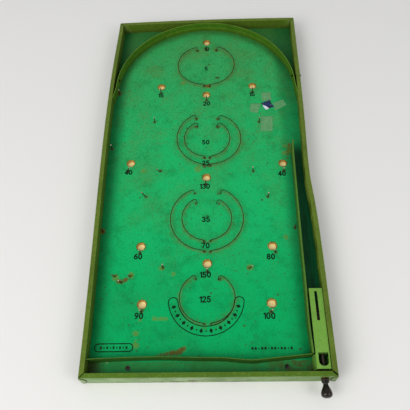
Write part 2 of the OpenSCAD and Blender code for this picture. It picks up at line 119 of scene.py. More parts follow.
class Finish:
    """One node material. Places are in millimetres on the object, so patterns stay at their real size."""

    def __init__(self, name):
        self.material = bpy.data.materials.new(name)
        self.material.use_nodes = True
        self.tree = self.material.node_tree
        self.shader = self.tree.nodes["Principled BSDF"]
        source = self.node("TexCoord", {}).outputs
        scaled = self.node("VectorMath", {0: source["Object"], "Scale": 1 / MM}, operation="SCALE")
        self.place = scaled.outputs[0]
        self.x, self.y, self.z = self.node("SeparateXYZ", {0: self.place}).outputs
        self.nx, self.ny, self.nz = self.node("SeparateXYZ", {0: source["Normal"]}).outputs
        self.plan = self.node("CombineXYZ", {0: self.x, 1: self.y}).outputs[0]

    def node(self, kind, sockets, **settings):
        """A new node with its settings, and a value or a link in each of its sockets."""
        node = self.tree.nodes.new("ShaderNode" + kind)
        for key, value in settings.items():
            setattr(node, key, value)
        self.fill(node, sockets)
        return node

    def fill(self, node, sockets):
        """Sets or links the sockets of a node."""
        for key, value in sockets.items():
            if isinstance(value, bpy.types.NodeSocket):
                self.tree.links.new(value, node.inputs[key])
            else:
                node.inputs[key].default_value = value

    def math(self, kind, a, b=0.0, c=0.0):
        return self.node("Math", {0: a, 1: b, 2: c}, operation=kind).outputs[0]

    def add(self, a, b):
        return self.math("ADD", a, b)

    def times(self, a, b):
        return self.math("MULTIPLY", a, b)

    def most(self, *values):
        return reduce(lambda a, b: self.math("MAXIMUM", a, b), values)

    def least(self, *values):
        return reduce(lambda a, b: self.math("MINIMUM", a, b), values)

    def step(self, value, low, high, out=(0.0, 1.0)):
        """A smooth step from low to high, which falls where low is the larger."""
        if low > high:
            low, high, out = high, low, (out[1], out[0])
        ends = {"From Min": low, "From Max": high, "To Min": out[0], "To Max": out[1]}
        node = self.node("MapRange", {"Value": value, **ends}, interpolation_type="SMOOTHSTEP")
        return node.outputs["Result"]

    def stretched(self, stretch, turn=0.0):
        """The place, stretched along each axis, for scratches and runs."""
        turned = (0, 0, math.radians(turn))
        return self.node("Mapping", {"Vector": self.place, "Scale": stretch, "Rotation": turned}).outputs[0]

    def noise(self, size, detail=3.0, rough=0.55, place=None, shift=0.0):
        """Cloudy noise whose blobs are about size millimetres across."""
        sockets = {"Vector": place or self.place, "W": shift, "Scale": 1 / size, "Detail": detail}
        sockets["Roughness"] = rough
        return self.node("TexNoise", sockets, noise_dimensions="4D").outputs["Fac"]

    def patches(self, size, low, high, shift=0.0):
        """Ragged patches, 0 where the noise is below low and 1 where it is above high."""
        return self.step(self.noise(size, 5, 0.7, shift=shift), low, high)

    def specks(self, spacing, radius, shift=0.0, share=1.0):
        """Round specks, 1 inside and 0 outside, on about a share of the cells of a random grid."""
        sockets = {"Vector": self.place, "W": shift, "Scale": 1 / spacing}
        cell = self.node("TexVoronoi", sockets, voronoi_dimensions="4D").outputs
        pick = self.node("SeparateColor", {0: cell["Color"]}).outputs
        dot = self.math("LESS_THAN", cell["Distance"], self.times(pick[1], radius / spacing))
        return self.times(dot, self.math("LESS_THAN", pick[0], share))

    def mix(self, share, a, b, kind="MIX"):
        sockets = {"Factor": share, "A": a, "B": b}
        return self.node("Mix", sockets, data_type="RGBA", blend_type=kind).outputs["Result"]

    def over(self, base, share, strength, red, green, blue):
        """The base with a coat of one everyday colour over it, at most as strong as strength."""
        return self.mix(self.times(share, strength), base, colour(red, green, blue))

    def blend(self, share, a, b):
        """A mix of two numbers."""
        return self.node("Mix", {"Factor": share, "A": a, "B": b}, data_type="FLOAT").outputs["Result"]

    def near(self, x, y):
        """Distance in plan from a place on the board, in millimetres."""
        ends = {0: self.plan, 1: (x, y + FRONT, 0)}
        return self.node("VectorMath", ends, operation="DISTANCE").outputs["Value"]

    def outside(self, places):
        """Distance in plan from the nearest of some discs, each x, y and radius."""
        return self.least(*[self.math("SUBTRACT", self.near(x, y), radius) for x, y, radius in places])

    def frayed(self, distance, noise, depth):
        """A distance whose edge the noise moves in and out, over depth millimetres in all."""
        return self.math("MULTIPLY_ADD", noise, -depth, self.add(distance, depth / 2))

    def edges(self, radius):
        """1 on sharp edges and 0 on flat faces."""
        rounded = self.node("Bevel", {"Radius": radius * MM}, samples=4).outputs[0]
        facing = self.node("NewGeometry", {}).outputs["Normal"]
        dot = self.node("VectorMath", {0: rounded, 1: facing}, operation="DOT_PRODUCT")
        return self.step(dot.outputs["Value"], 0.985, 0.86)

    def bump(self, height, depth):
        """Bump whose full height is depth millimetres."""
        node = self.node("Bump", {"Strength": 1.0, "Distance": depth * MM, "Height": height})
        self.fill(self.shader, {"Normal": node.outputs[0]})

    def done(self, tone, metal=0.0, rough=0.5, coat=0.0, coat_rough=0.1, shine=0.5):
        self.fill(self.shader, {
            "Base Color": tone, "Metallic": metal, "Roughness": rough, "Specular IOR Level": shine,
            "Coat Weight": coat, "Coat Roughness": coat_rough,
        })
        return self.material


RUST = colour(92, 52, 22)
DARK_RUST = colour(52, 32, 18)


def stage_finish():
    """Pale studio floor with hardly any tone of its own."""
    f = Finish("studio_floor")
    tone = f.mix(f.noise(400, 2), colour(239, 237, 234), colour(242, 240, 237))
    return f.done(tone, rough=0.6)


# Arcs that the hoops' wires follow, where rust has bled into the paint and painted shadow lies under the
# raised
# wires: side, centre as x and y, radius, and how far up the board the arc ends
HOOP_ARCS = [
    (-1, -4.4, 515.8, 44.2, 556), (1, 0.2, 516.0, 45.9, 556), (-1, -0.1, 360.6, 34.8, 388),
    (1, -0.1, 360.3, 35.1, 387), (-1, 5.0, 361.8, 51.4, 404), (1, 3.6, 359.6, 48.3, 403),
    (-1, 0.1, 220.2, 35.6, 248), (1, 0.0, 219.3, 34.3, 247), (-1, -1.1, 220.2, 50.7, 265),
    (1, -0.7, 220.1, 51.5, 264), (-1, -1.8, 102.9, 34.5, 132), (1, 1.7, 102.6, 34.0, 131),
]


def nail_places():
    """Where each nail enters the field, in the board's own millimetres."""
    return [(foot.x / MM, foot.y / MM - FRONT) for axes in NAIL_AXES.values() for foot, _ in axes]


# Circle of the arch band: centre as x and y, and radius
ARCH_X, ARCH_Y, ARCH_R = -2.5, 459.1, 144.6

# The shooter lane's left side and upper end, and the ball trough's upper edge, each as a soft step
LANE_LEFT = (124, 128)
LANE_END = (345, 325)
TROUGH_EDGE = (21, 19)

# Radii of the rust blots at the nails and the hoops' feet, larger for the hoops beyond a line
UPPER_HOOPS = 330
FOOT_BLOT = 0.1
UPPER_FOOT_BLOT = 1.2
NAIL_BLOT = 0.7

# Places on the field where the paint has rusted through, and olive smudges: x, y and radius
RUSTED = [
    (-62, 30.5, 0.6), (-58, 31, 1.3), (-54, 31.5, 1.8), (-50, 32, 2.0), (-46, 32.5, 2.2), (-42, 33, 2.4),
    (-38, 33.5, 2.8), (-35, 35, 3.0), (-32, 36.5, 2.6), (-29, 38, 2.0),
    (120, 322, 1.0), (121.5, 329, 1.8), (122.5, 335, 2.0), (124, 341, 2.2), (125.5, 347, 1.6),
    (-118, 128, 3.0), (-109, 130, 2.5), (2, 472, 3.5), (-147, 462, 4.0), (-148, 204, 4.0),
]
SMUDGED = [
    (-91, 58, 3.2), (-90, 43, 3.6), (-90, 49, 1.6), (-68, 77, 2.4), (-64, 76.5, 2.0), (-60, 76.5, 2.4),
    (-56, 76, 1.8), (-53, 76, 1.6), (-86, 75, 1.5), (-14, 306, 5.0), (-123, 134, 4.0), (-102, 137, 4.0),
    (-62, 146, 3.0), (57, 146, 4.0), (-45, 138, 2.0), (108, 190, 3.0), (-96, 305, 3.0), (-40, 480, 4.0),
    (117, 332, 3.5), (119, 345, 3.0),
]


def field_finish():
    """Emerald paint, paled toward the arch by a painted reflection and darkened by painted shade along
    walls, arch and lane, with rust bled from every wire and nail and painted shadow under the wires.
    """
    f = Finish("field_enamel")
    along = f.step(f.y, 60, 600)
    # Painted reflection: the green turns paler toward the arch, as if a sheen lay on the upper field
    base = f.mix(f.step(f.y, 20, 230), colour(0, 176, 96), colour(24, 188, 106))
    base = f.mix(f.step(f.y, 330, 590), base, colour(56, 168, 92))
    base = f.over(base, f.step(f.noise(70, 4, 0.6), 0.45, 0.75), 0.4, 56, 154, 84)
    base = f.over(base, f.patches(20, 0.46, 0.72, shift=3), 0.55, 16, 130, 66)
    # Brown bloom of old grime, thicker toward the arch
    bloom = f.times(f.patches(34, 0.42, 0.66, shift=8), f.blend(along, 0.3, 1.0))
    grain = f.step(f.noise(3.2, 5, 0.8, shift=9), 0.44, 0.64)
    base = f.over(base, bloom, f.blend(grain, 0.12, 0.72), 104, 112, 48)
    fine = f.step(f.noise(2.4, 5, 0.85, shift=10), 0.47, 0.66)
    base = f.over(base, fine, f.blend(along, 0.4, 0.78), 34, 98, 44)
    # A dark band along the foot of the arch: painted shade cast by the band, with brown dirt
    arch = f.math("SUBTRACT", ARCH_R, f.near(ARCH_X, ARCH_Y))
    band = f.times(f.step(arch, 17.0, 1.0), f.step(f.y, ARCH_Y - 12, ARCH_Y + 60))
    band = f.times(band, f.blend(f.noise(14, 5, 0.65, shift=19), 0.45, 1.0))
    base = f.over(base, band, 0.8, 54, 84, 22)
    # Behind the arch the field is darkened: painted shade from the rails and the arch, with grime
    behind_shade_and_grime = f.times(f.step(arch, 0.0, -2.0), f.step(f.y, ARCH_Y, ARCH_Y + 12))
    behind_shade_and_grime = f.times(behind_shade_and_grime, f.blend(f.noise(20, 5, 0.7, shift=22), 0.05, 0.4))
    base = f.mix(behind_shade_and_grime, base, colour(30, 84, 34))
    # The painted reflection fades toward the player, so the green is purer there
    pure = f.times(f.step(f.y, 320, 40), 0.85)
    base = f.mix(pure, base, (0.0, 0.97, 1.0, 1.0), "MULTIPLY")
    # Painted shade from the walls darkens the field along them, with grime
    left = f.step(f.x, -148, -124, (1.0, 0.0))
    right = f.step(f.x, 108, 125, (0.0, 0.7))
    wall_shade_and_grime = f.times(f.most(left, right), f.blend(f.noise(12, 4, shift=14), 0.5, 0.9))
    base = f.mix(wall_shade_and_grime, base, colour(4, 84, 38))
    # The lane and the ball trough lie in the dark: painted shade darkens the lane, and the trough toward the
    # left wall
    lane = f.times(f.step(f.x, *LANE_LEFT), f.step(f.y, *LANE_END))
    trough = f.step(f.y, *TROUGH_EDGE)
    base = f.over(base, lane, 0.8, 8, 66, 36)
    runs = f.step(f.noise(7, 5, 0.7, f.stretched((1, 0.12, 1)), shift=24), 0.42, 0.62)
    base = f.over(base, f.times(lane, runs), 0.5, 4, 40, 22)
    dusty = f.times(trough, f.blend(f.noise(14, 5, 0.7, shift=15), 0.1, 0.8))
    base = f.mix(dusty, base, colour(70, 104, 38))
    # Painted shade, with brown rust, darkens the trough toward the left wall
    corner = f.times(f.step(f.x, -122, -144), f.blend(f.noise(6, 5, 0.7, shift=25), 0.6, 1.0))
    base = f.over(base, trough, corner, 52, 48, 20)
    far = f.times(f.step(f.x, 40, 118), f.patches(10, 0.4, 0.6, shift=29))
    base = f.over(base, f.times(trough, far), 0.8, 84, 66, 28)
    fleck = f.times(trough, f.specks(5, 1.3, 7.0, 0.3))
    base = f.over(base, fleck, 0.7, 150, 170, 92)
    # Fine pepper of rust
    pepper = f.most(f.specks(4.2, 1.3, 1.0, 0.65), f.specks(11, 2.4, 2.0, 0.4))
    base = f.over(base, pepper, f.blend(f.noise(30, 3, shift=16), 0.35, 0.95), 58, 68, 26)
    # Rust rings by the hoops, partly painted shadow under the raised wires, and blots round the nails and
    # the hoops' feet
    halo = f.least(*[wire_gap(f, *arc_line) for arc_line in HOOP_ARCS])
    ragged = f.noise(6, 6, 0.75, shift=5)
    ring = f.step(f.frayed(halo, ragged, 7.0), 3.6, -1.2)
    haze = f.times(f.step(halo, 11.0, 1.5), f.patches(9, 0.42, 0.66, shift=18))
    feet = [(x, y, NAIL_BLOT) for x, y in nail_places()]
    for side, _, y, radius, top in HOOP_ARCS:
        size = UPPER_FOOT_BLOT if y > UPPER_HOOPS else FOOT_BLOT
        feet += [(side * 4.4, y - radius + 0.4, size), (side * 16.5, top - 2, size)]
    spot = f.step(f.frayed(f.outside(feet), ragged, 7.0), 3.4, 0.2)
    rust_and_shadow_tone = f.mix(f.patches(4, 0.35, 0.65, shift=17), colour(96, 110, 40), colour(124, 84, 34))
    # Olive haze and rings along the wires: rust, with painted shadow of the wires
    base = f.over(base, haze, 0.4, 78, 112, 40)
    base = f.mix(f.times(ring, 0.45), base, rust_and_shadow_tone)
    base = f.mix(f.times(spot, 0.8), base, f.mix(ragged, colour(96, 74, 30), colour(58, 42, 20)))
    rusted = patch_of(f, RUSTED, 11)
    base = f.over(base, patch_of(f, SMUDGED, 12), 0.55, 110, 132, 44)
    crust = f.mix(f.noise(4, 5, 0.7), colour(120, 98, 34), colour(82, 54, 18))
    base = f.mix(f.times(rusted, 0.85), base, crust)
    scratch = f.step(f.noise(2.2, 4, 0.6, f.stretched((1, 0.06, 1), 24), shift=2), 0.68, 0.72)
    scratch = f.times(scratch, f.step(f.noise(30, 2, shift=6), 0.52, 0.66))
    base = f.over(base, scratch, 0.4, 110, 196, 136)
    base = hole_tone(f, base)
    wear = f.most(ring, spot, rusted)
    height = f.add(f.times(f.noise(1.2, 3, 0.6), 0.35), f.times(wear, -0.6))
    f.bump(height, 0.06)
    rough = f.blend(wear, f.step(f.noise(12, 4), 0.3, 0.7, (0.34, 0.5)), 0.8)
    # The pressed sheet is bare tin underneath
    under = f.step(f.nz, -0.5, -0.9)
    return f.done(f.mix(under, base, tin_tone(f)), rough=rough, shine=0.1)


def wire_gap(f, side, x, y, radius, top):
    """Distance in plan from one hoop's arc, which stays on its side and stops at its top."""
    gap = f.math("ABSOLUTE", f.math("SUBTRACT", f.near(x, y), radius))
    across = f.math("MAXIMUM", f.math("MULTIPLY_ADD", f.x, -side, 2.0), 0.0)
    beyond = f.math("MAXIMUM", f.add(f.y, -(top + FRONT)), 0.0)
    return f.add(gap, f.add(across, beyond))


def patch_of(f, places, shift):
    """1 inside a ragged patch round each of the places."""
    return f.step(f.frayed(f.outside(places), f.noise(7, 6, 0.78, shift=shift), 9.0), 1.7, -0.9)


FRONT_HOLES = ((-97.3, 15.3), (95.8, 15.3))
HOLE_R = 2.5


def hole_tone(f, base):
    """The trough's screw holes have rusty walls and a dark rim, and the left one's wall carries a painted
    highlight.
    """
    nearest = f.least(*[f.near(x, y) for x, y in FRONT_HOLES])
    rim = f.step(nearest, HOLE_R + 1.3, HOLE_R + 0.3)
    base = f.over(base, rim, 0.85, 40, 34, 18)
    wall = f.times(f.step(nearest, HOLE_R + 0.3, HOLE_R + 0.1), f.step(f.nz, 0.7, 0.3))
    base = f.mix(wall, base, colour(120, 66, 40))
    # Painted highlight: pale cream on the inner wall of the left hole
    pale_patch = f.times(wall, f.times(f.step(f.nx, 0.1, -0.4), f.step(f.x, 0, -1)))
    return f.mix(pale_patch, base, colour(246, 236, 220))


def tin_tone(f):
    """Dull tin plate with brown freckles."""
    tone = f.mix(f.noise(18, 5, 0.6, shift=20), colour(150, 148, 138), colour(116, 112, 100))
    freckles = f.step(f.noise(5, 6, 0.7, shift=21), 0.58, 0.72)
    return f.mix(freckles, tone, colour(104, 70, 40))


# Round-ended ears that the side rails fold onto the front face: their circles' centres, as (x, z)
EAR_CENTRES = ((-160.16, 13.5), (160.16, 13.5))
EAR_R = 14.66
EAR_SHADE_AND_DIRT_IN = 1.3
EAR_SHADE_AND_DIRT_OUT = 1.1


def ear_line(f):
    """Painted shade and dirt along the step at each ear's edge."""
    def square(place, centre):
        return f.math("POWER", f.add(place, -centre), 2.0)
    reach = [f.math("SQRT", f.add(square(f.x, x), square(f.z, z))) for x, z in EAR_CENTRES]
    step = f.math("SUBTRACT", f.least(*reach), EAR_R)
    within = f.step(step, -EAR_SHADE_AND_DIRT_IN, -EAR_SHADE_AND_DIRT_IN * 0.3)
    return f.times(within, f.step(step, EAR_SHADE_AND_DIRT_OUT, EAR_SHADE_AND_DIRT_OUT * 0.4))


def painted(name, top, side, dark, edge, front=None, rust_at=0.66, grime=0.4, foot_shade=0.5):
    """Worn paint on folded tin: top faces, upright faces in painted shade, painted shade at their feet,
    dirt, rubbed edges.
    """
    f = Finish(name)
    # Upright faces take the side colour, darker than the top: painted shade, as they see less of the sky
    upright = f.step(f.nz, 0.8, 0.4)
    base = f.mix(upright, top, side)
    base = f.mix(f.times(f.step(f.noise(3.5, 5, 0.75, shift=23), 0.42, 0.7), 0.4), base, dark)
    base = f.mix(f.times(f.step(f.noise(2.2, 4, 0.8, shift=30), 0.5, 0.68), 0.35), base, edge)
    # Painted shade darkens the foot of each upright face that stands on the playfield
    foot = f.times(f.step(f.z, FIELD + 9, FIELD + 0.5), f.blend(f.noise(8, 4, shift=26), 0.3, 0.9))
    base = f.over(base, f.times(upright, foot), foot_shade, 48, 44, 18)
    if front:
        # The front face takes the front colour: a painted reflection of the floor
        facing = f.times(f.step(f.ny, -0.5, -0.8), f.step(f.y, FRONT + 1.2, FRONT + 0.6))
        base = f.mix(facing, base, front_tone(f, front))
        # Painted shade and dirt outline each ear
        base = f.over(base, facing, f.times(ear_line(f), 0.9), 44, 48, 22)
    base = f.mix(f.times(f.step(f.noise(45, 5, 0.62), 0.42, 0.72), grime), base, dark)
    streaks = f.noise(9, 5, 0.65, f.stretched((0.9, 0.22, 1.6)), shift=4)
    base = f.mix(f.times(f.step(streaks, 0.5, 0.78), 0.35), base, dark)
    pale_patch = f.times(f.edges(0.55), f.patches(7, 0.34, 0.62, shift=7))
    base = f.mix(f.times(pale_patch, 0.75), base, edge)
    rust = f.step(f.add(f.noise(13, 7, 0.72, shift=9), f.times(f.edges(1.2), 0.04)), rust_at, rust_at + 0.05)
    pits = f.specks(9, 0.9, 5.0, 0.35)
    rust = f.most(rust, f.times(pits, 0.8))
    base = f.mix(f.times(rust, 0.85), base, f.mix(f.noise(3, 4), RUST, DARK_RUST))
    base = f.mix(f.step(f.nz, -0.5, -0.9), base, tin_tone(f))
    f.bump(f.add(f.times(f.noise(1.4, 3, 0.6), 0.3), f.times(rust, -0.6)), 0.07)
    rough = f.blend(rust, f.step(f.noise(15, 4), 0.3, 0.7, (0.34, 0.5)), 0.8)
    return f.done(base, rough=rough, shine=0.16)


def front_tone(f, tone):
    """The front face is painted pale as a reflection of the pale floor before it, with dark scuffs along its
    middle.
    """
    pale_reflection = f.mix(f.step(f.noise(26, 4, 0.6, shift=12), 0.35, 0.7), tone, colour(112, 150, 86))
    olive = f.step(f.math("ABSOLUTE", f.add(f.z, -EAR_CENTRES[0][1])), 7, 12)
    pale_reflection = f.over(pale_reflection, olive, f.blend(f.noise(9, 4, shift=27), 0.2, 0.9), 96, 128, 52)
    pale_reflection = f.over(pale_reflection, f.step(f.x, 20, 120), 0.6, 104, 138, 62)
    scuff = f.step(f.noise(9, 6, 0.75, f.stretched((0.5, 1, 1.2)), shift=13), 0.5, 0.58)
    middle = f.step(f.math("ABSOLUTE", f.add(f.x, 8)), 78, 34)
    scuff = f.times(f.times(scuff, middle), f.step(f.z, 20, 9))
    base = f.over(pale_reflection, scuff, 0.85, 70, 66, 34)
    freckle = f.times(f.specks(7, 1.5, 6.0, 0.5), f.step(f.noise(22, 3, shift=28), 0.48, 0.6))
    return f.over(base, freckle, 0.7, 88, 84, 44)


def wire_finish():
    """Bent steel wire: brown rust, darker in patches, with a few bright rubbed spots."""
    f = Finish("rusted_wire")
    tone = f.mix(f.noise(5, 5, 0.65), colour(58, 46, 24), colour(26, 24, 14))
    green = f.step(f.noise(11, 4, shift=2), 0.45, 0.65)
    tone = f.over(tone, green, 0.5, 34, 56, 22)
    bright = f.patches(3.5, 0.62, 0.72, shift=6)
    tone = f.over(tone, bright, 0.4, 120, 96, 62)
    f.bump(f.noise(0.5, 4, 0.7), 0.08)
    return f.done(tone, metal=f.times(bright, 0.5), rough=f.blend(bright, 0.66, 0.42), shine=0.15)


def nail_finish():
    """Rusty nails with a painted glint on their heads."""
    f = Finish("rusted_nail")
    tone = f.mix(f.noise(2, 5, 0.65), colour(72, 50, 26), colour(34, 28, 18))
    # Painted highlight: a pale glint on each nail's head
    head_glint = f.times(f.step(f.z, FIELD + 9.9, FIELD + 11.0), f.step(f.noise(1.5, 4, shift=6), 0.36, 0.52))
    tone = f.over(tone, head_glint, 0.8, 206, 204, 164)
    f.bump(f.noise(0.4, 4, 0.7), 0.08)
    return f.done(tone, metal=f.times(head_glint, 0.35), rough=f.blend(head_glint, 0.6, 0.35))


def cup_finish():
    """Tarnished brass: a floor painted pale as a reflection of the light, golden-brown wall, and a dull
    flange with brown spots.
    """
    f = Finish("cup_brass")
    floor = f.times(f.step(f.nz, 0.75, 0.92), f.step(f.z, FIELD - 3.2, FIELD - 4.0))
    flange = f.step(f.z, FIELD - 0.25, FIELD + 0.15)
    wall = f.mix(f.noise(2.5, 5, 0.65), colour(228, 190, 106), colour(140, 106, 46))
    worn = f.noise(3, 4, 0.6, shift=1)
    # Painted reflection: the floor's pale gold
    pale_reflection = f.mix(f.step(worn, 0.5, 0.75), colour(255, 238, 168), colour(252, 216, 120))
    gold = f.mix(f.patches(2.2, 0.34, 0.58, shift=2), colour(204, 172, 88), colour(80, 62, 24))
    tone = f.mix(flange, f.mix(floor, wall, pale_reflection), gold)
    spots = f.specks(2.4, 0.5, 3.0, 0.3)
    tone = f.over(tone, spots, 0.6, 96, 62, 24)
    f.bump(f.noise(0.8, 4, 0.7), 0.04)
    rough = f.step(worn, 0.35, 0.7, (0.3, 0.55))
    return f.done(tone, metal=f.blend(floor, 0.55, 0.05), rough=rough)


def steel_finish(name, bright, dull, rusty, rough=0.35):
    """Drawn steel with fine lines along the board, and rust in patches."""
    f = Finish(name)
    drawn = f.noise(0.5, 3, 0.6, f.stretched((1, 0.08, 1)))
    tone = f.mix(drawn, bright, dull)
    rust = f.times(f.step(f.noise(6, 6, 0.72, shift=3), 0.5, 0.68), rusty)
    tone = f.mix(rust, tone, RUST)
    f.bump(f.add(f.times(drawn, 0.4), f.noise(0.7, 4, 0.7)), 0.03)
    return f.done(tone, metal=f.blend(rust, 0.9, 0.1), rough=f.blend(rust, rough, 0.75))


def bronze_finish():
    """Dark bronzed knob: glossy, worn to brown on its crown, rust on its flange."""
    f = Finish("dark_bronze")
    tone = f.mix(f.noise(6, 5, 0.65), colour(14, 14, 13), colour(30, 27, 22))
    crown = f.times(f.step(f.y, FRONT - 9, FRONT - 17), f.patches(4, 0.35, 0.6, shift=4))
    tone = f.over(tone, crown, 0.65, 58, 42, 26)
    flange = f.times(f.step(f.y, FRONT - 3.4, FRONT - 1.2), f.patches(1.8, 0.36, 0.5, shift=5))
    tone = f.mix(flange, tone, colour(84, 50, 28))
    f.bump(f.noise(1.1, 4, 0.65), 0.05)
    rough = f.blend(flange, f.step(f.noise(3, 4, shift=2), 0.3, 0.7, (0.16, 0.36)), 0.7)
    return f.done(tone, metal=f.blend(flange, 0.75, 0.2), rough=rough, coat=0.35, coat_rough=0.14)


def ink_finish():
    """Dark green print, worn through in small spots."""
    f = Finish("print_ink")
    tone = f.mix(f.noise(3, 5, 0.7), colour(3, 34, 16), colour(6, 50, 26))
    worn = f.step(f.noise(1.1, 4, 0.7, shift=3), 0.62, 0.72)
    tone = f.over(tone, worn, 0.5, 26, 120, 66)
    f.bump(f.noise(0.8, 3), 0.01)
    return f.done(tone, rough=0.5, shine=0.12)


def tape_finish():
    """Old clear tape: hazy, a little yellow, with paler clouds where air has crept under it."""
    f = Finish("hazy_tape")
    tone = f.mix(f.noise(9, 4, 0.6), colour(116, 180, 122), colour(96, 172, 110))
    bubble = f.step(f.noise(5.5, 4, 0.6, shift=2), 0.42, 0.8)
    tone = f.over(tone, bubble, 0.45, 150, 196, 144)
    f.bump(f.noise(9, 3, shift=4), 0.12)
    f.fill(f.shader, {"Alpha": f.step(bubble, 0, 1, (0.66, 0.8))})
    return f.done(tone, rough=f.step(bubble, 0, 1, (0.4, 0.5)), shine=0.2)


def packet_finish():
    """Shiny dark blue film, with a painted reflection as a white corner and painted highlights along thin
    creases.
    """
    f = Finish("packet_film")
    tone = f.mix(f.step(f.noise(4, 4, 0.6), 0.4, 0.6), colour(12, 18, 40), colour(34, 54, 112))
    # A straight fold parts the painted white reflection from the blue
    fold = f.add(f.times(f.x, PACKET_WAY[0]), f.times(f.y, PACKET_WAY[1]))
    cut = f.math("MULTIPLY_ADD", f.noise(3, 3, shift=1), 1.6, fold)
    white_reflection = f.step(cut, PACKET_FOLD + 0.6, PACKET_FOLD)
    tone = f.mix(white_reflection, tone, f.mix(f.noise(2.5, 4), colour(232, 234, 240), colour(196, 204, 222)))
    # Painted highlights along the creases
    crease = f.step(f.noise(2.4, 4, 0.6, f.stretched((1, 0.25, 1), 38), shift=4), 0.62, 0.68)
    tone = f.over(tone, crease, 0.8, 214, 218, 228)
    f.bump(f.noise(2.2, 4, 0.6), 0.4)
    return f.done(tone, rough=0.35, coat=0.1, coat_rough=0.25, shine=0.3)


# --- Making meshes ---


def piece(name, bm, finish, body="board", smooth=True, replaces=()):
    """Turns a bmesh into a piece that rides on a body."""
    mesh = bpy.data.meshes.new(name)
    bmesh.ops.recalc_face_normals(bm, faces=bm.faces)
    bm.to_mesh(mesh)
    bm.free()
    mesh.polygons.foreach_set("use_smooth", [smooth] * len(mesh.polygons))
    made = new_object(name, mesh)
    made.data.materials.append(finish)
    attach(made, body)
    if replaces:
        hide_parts(*replaces)
    return made


def islands(node):
    """The separate solids of a CAD node, as arrays of their corners in metres."""
    mesh = NODES[node].data
    places = np.array([v.co for v in mesh.vertices])
    keys = {}
    joined = [keys.setdefault(tuple(np.round(p / (0.01 * MM)).astype(int)), i) for i, p in enumerate(places)]
    parent = list(range(len(places)))

    def root(i):
        while parent[i] != i:
            parent[i] = parent[parent[i]]
            i = parent[i]
        return i

    for i, j in enumerate(joined):
        parent[root(i)] = root(j)
    for polygon in mesh.polygons:
        first = root(polygon.vertices[0])
        for other in polygon.vertices[1:]:
            parent[root(other)] = first
    groups = {}
    for i in range(len(places)):
        groups.setdefault(root(i), []).append(i)
    return [places[group] for group in groups.values()]


def tube(bm, path, radii, sides):
    """Adds a closed round tube along a path. radii is one number, or one for each point."""
    points = [Vector(p) for p in path]
    radii = radii if hasattr(radii, "__len__") else [radii] * len(points)
    ahead = (points[1] - points[0]).normalized()
    side = ahead.cross(Vector((0.31, 0.42, 0.85))).normalized()
    rings = []
    for i, point in enumerate(points):
        before, after = points[max(i - 1, 0)], points[min(i + 1, len(points) - 1)]
        ahead = (after - before).normalized()
        side = (side - ahead * side.dot(ahead)).normalized()
        other = ahead.cross(side)
        rings.append([
            bm.verts.new(point + radii[i] * (math.cos(a) * side + math.sin(a) * other))
            for a in (math.tau * k / sides for k in range(sides))
        ])
    for low, high in zip(rings, rings[1:]):
        for k in range(sides):
            m = (k + 1) % sides
            bm.faces.new((low[k], low[m], high[m], high[k]))
    bm.faces.new(rings[0])
    bm.faces.new(list(reversed(rings[-1])))


def lathe(bm, profile, centre, axis, segments, wobble=0.0):
    """Adds a shape turned about an axis. profile is (distance along the axis, radius) in mm."""
    axis = Vector(axis).normalized()
    side = axis.orthogonal().normalized()
    other = axis.cross(side)
    rings = []
    for along, radius in profile:
        middle = centre + axis * along * MM
        if radius == 0:
            rings.append([bm.verts.new(middle)])
            continue
        ring = []
        for k in range(segments):
            a = math.tau * k / segments
            r = radius + wobble * math.sin(3 * a + 7 * along + centre.x * 900)
            ring.append(bm.verts.new(middle + r * MM * (math.cos(a) * side + math.sin(a) * other)))
        rings.append(ring)
    for low, high in zip(rings, rings[1:]):
        for k in range(segments):
            m = (k + 1) % segments
            corners = [low[k % len(low)], low[m % len(low)], high[m % len(high)], high[k % len(high)]]
            bm.faces.new(list(dict.fromkeys(corners)))


def dress(node, finish, bevel=0.0, smooth=0):
    """Gives a CAD node its finish, and softens it with modifiers, so that its own mesh stays as it is."""
    target = NODES[node]
    target.data.materials.clear()
    target.data.materials.append(finish)
    if bevel or smooth:
        weld = target.modifiers.new("weld", "WELD")
        weld.merge_threshold = 0.004 * MM
        target.data.polygons.foreach_set("use_smooth", [True] * len(target.data.polygons))
    if bevel:
        edge = target.modifiers.new("soft_edges", "BEVEL")
        edge.width = bevel * MM
        edge.segments = 2
        edge.limit_method = "ANGLE"
        edge.angle_limit = math.radians(35)
        flat = target.modifiers.new("flat_faces", "WEIGHTED_NORMAL")
        flat.keep_sharp = True
    if smooth:
        surface = target.modifiers.new("smooth", "SUBSURF")
        surface.levels = surface.render_levels = smooth


# --- Print: every mark is the inside of a distance field, cut into a thin flat mesh ---


def arc(cx, cy, rx, ry, start, end, steps=18):
    """Points along part of an ellipse, from one angle to another, in degrees."""
    angles = [math.radians(start + (end - start) * k / steps) for k in range(steps + 1)]
    return [(cx + rx * math.cos(a), cy + ry * math.sin(a)) for a in angles]


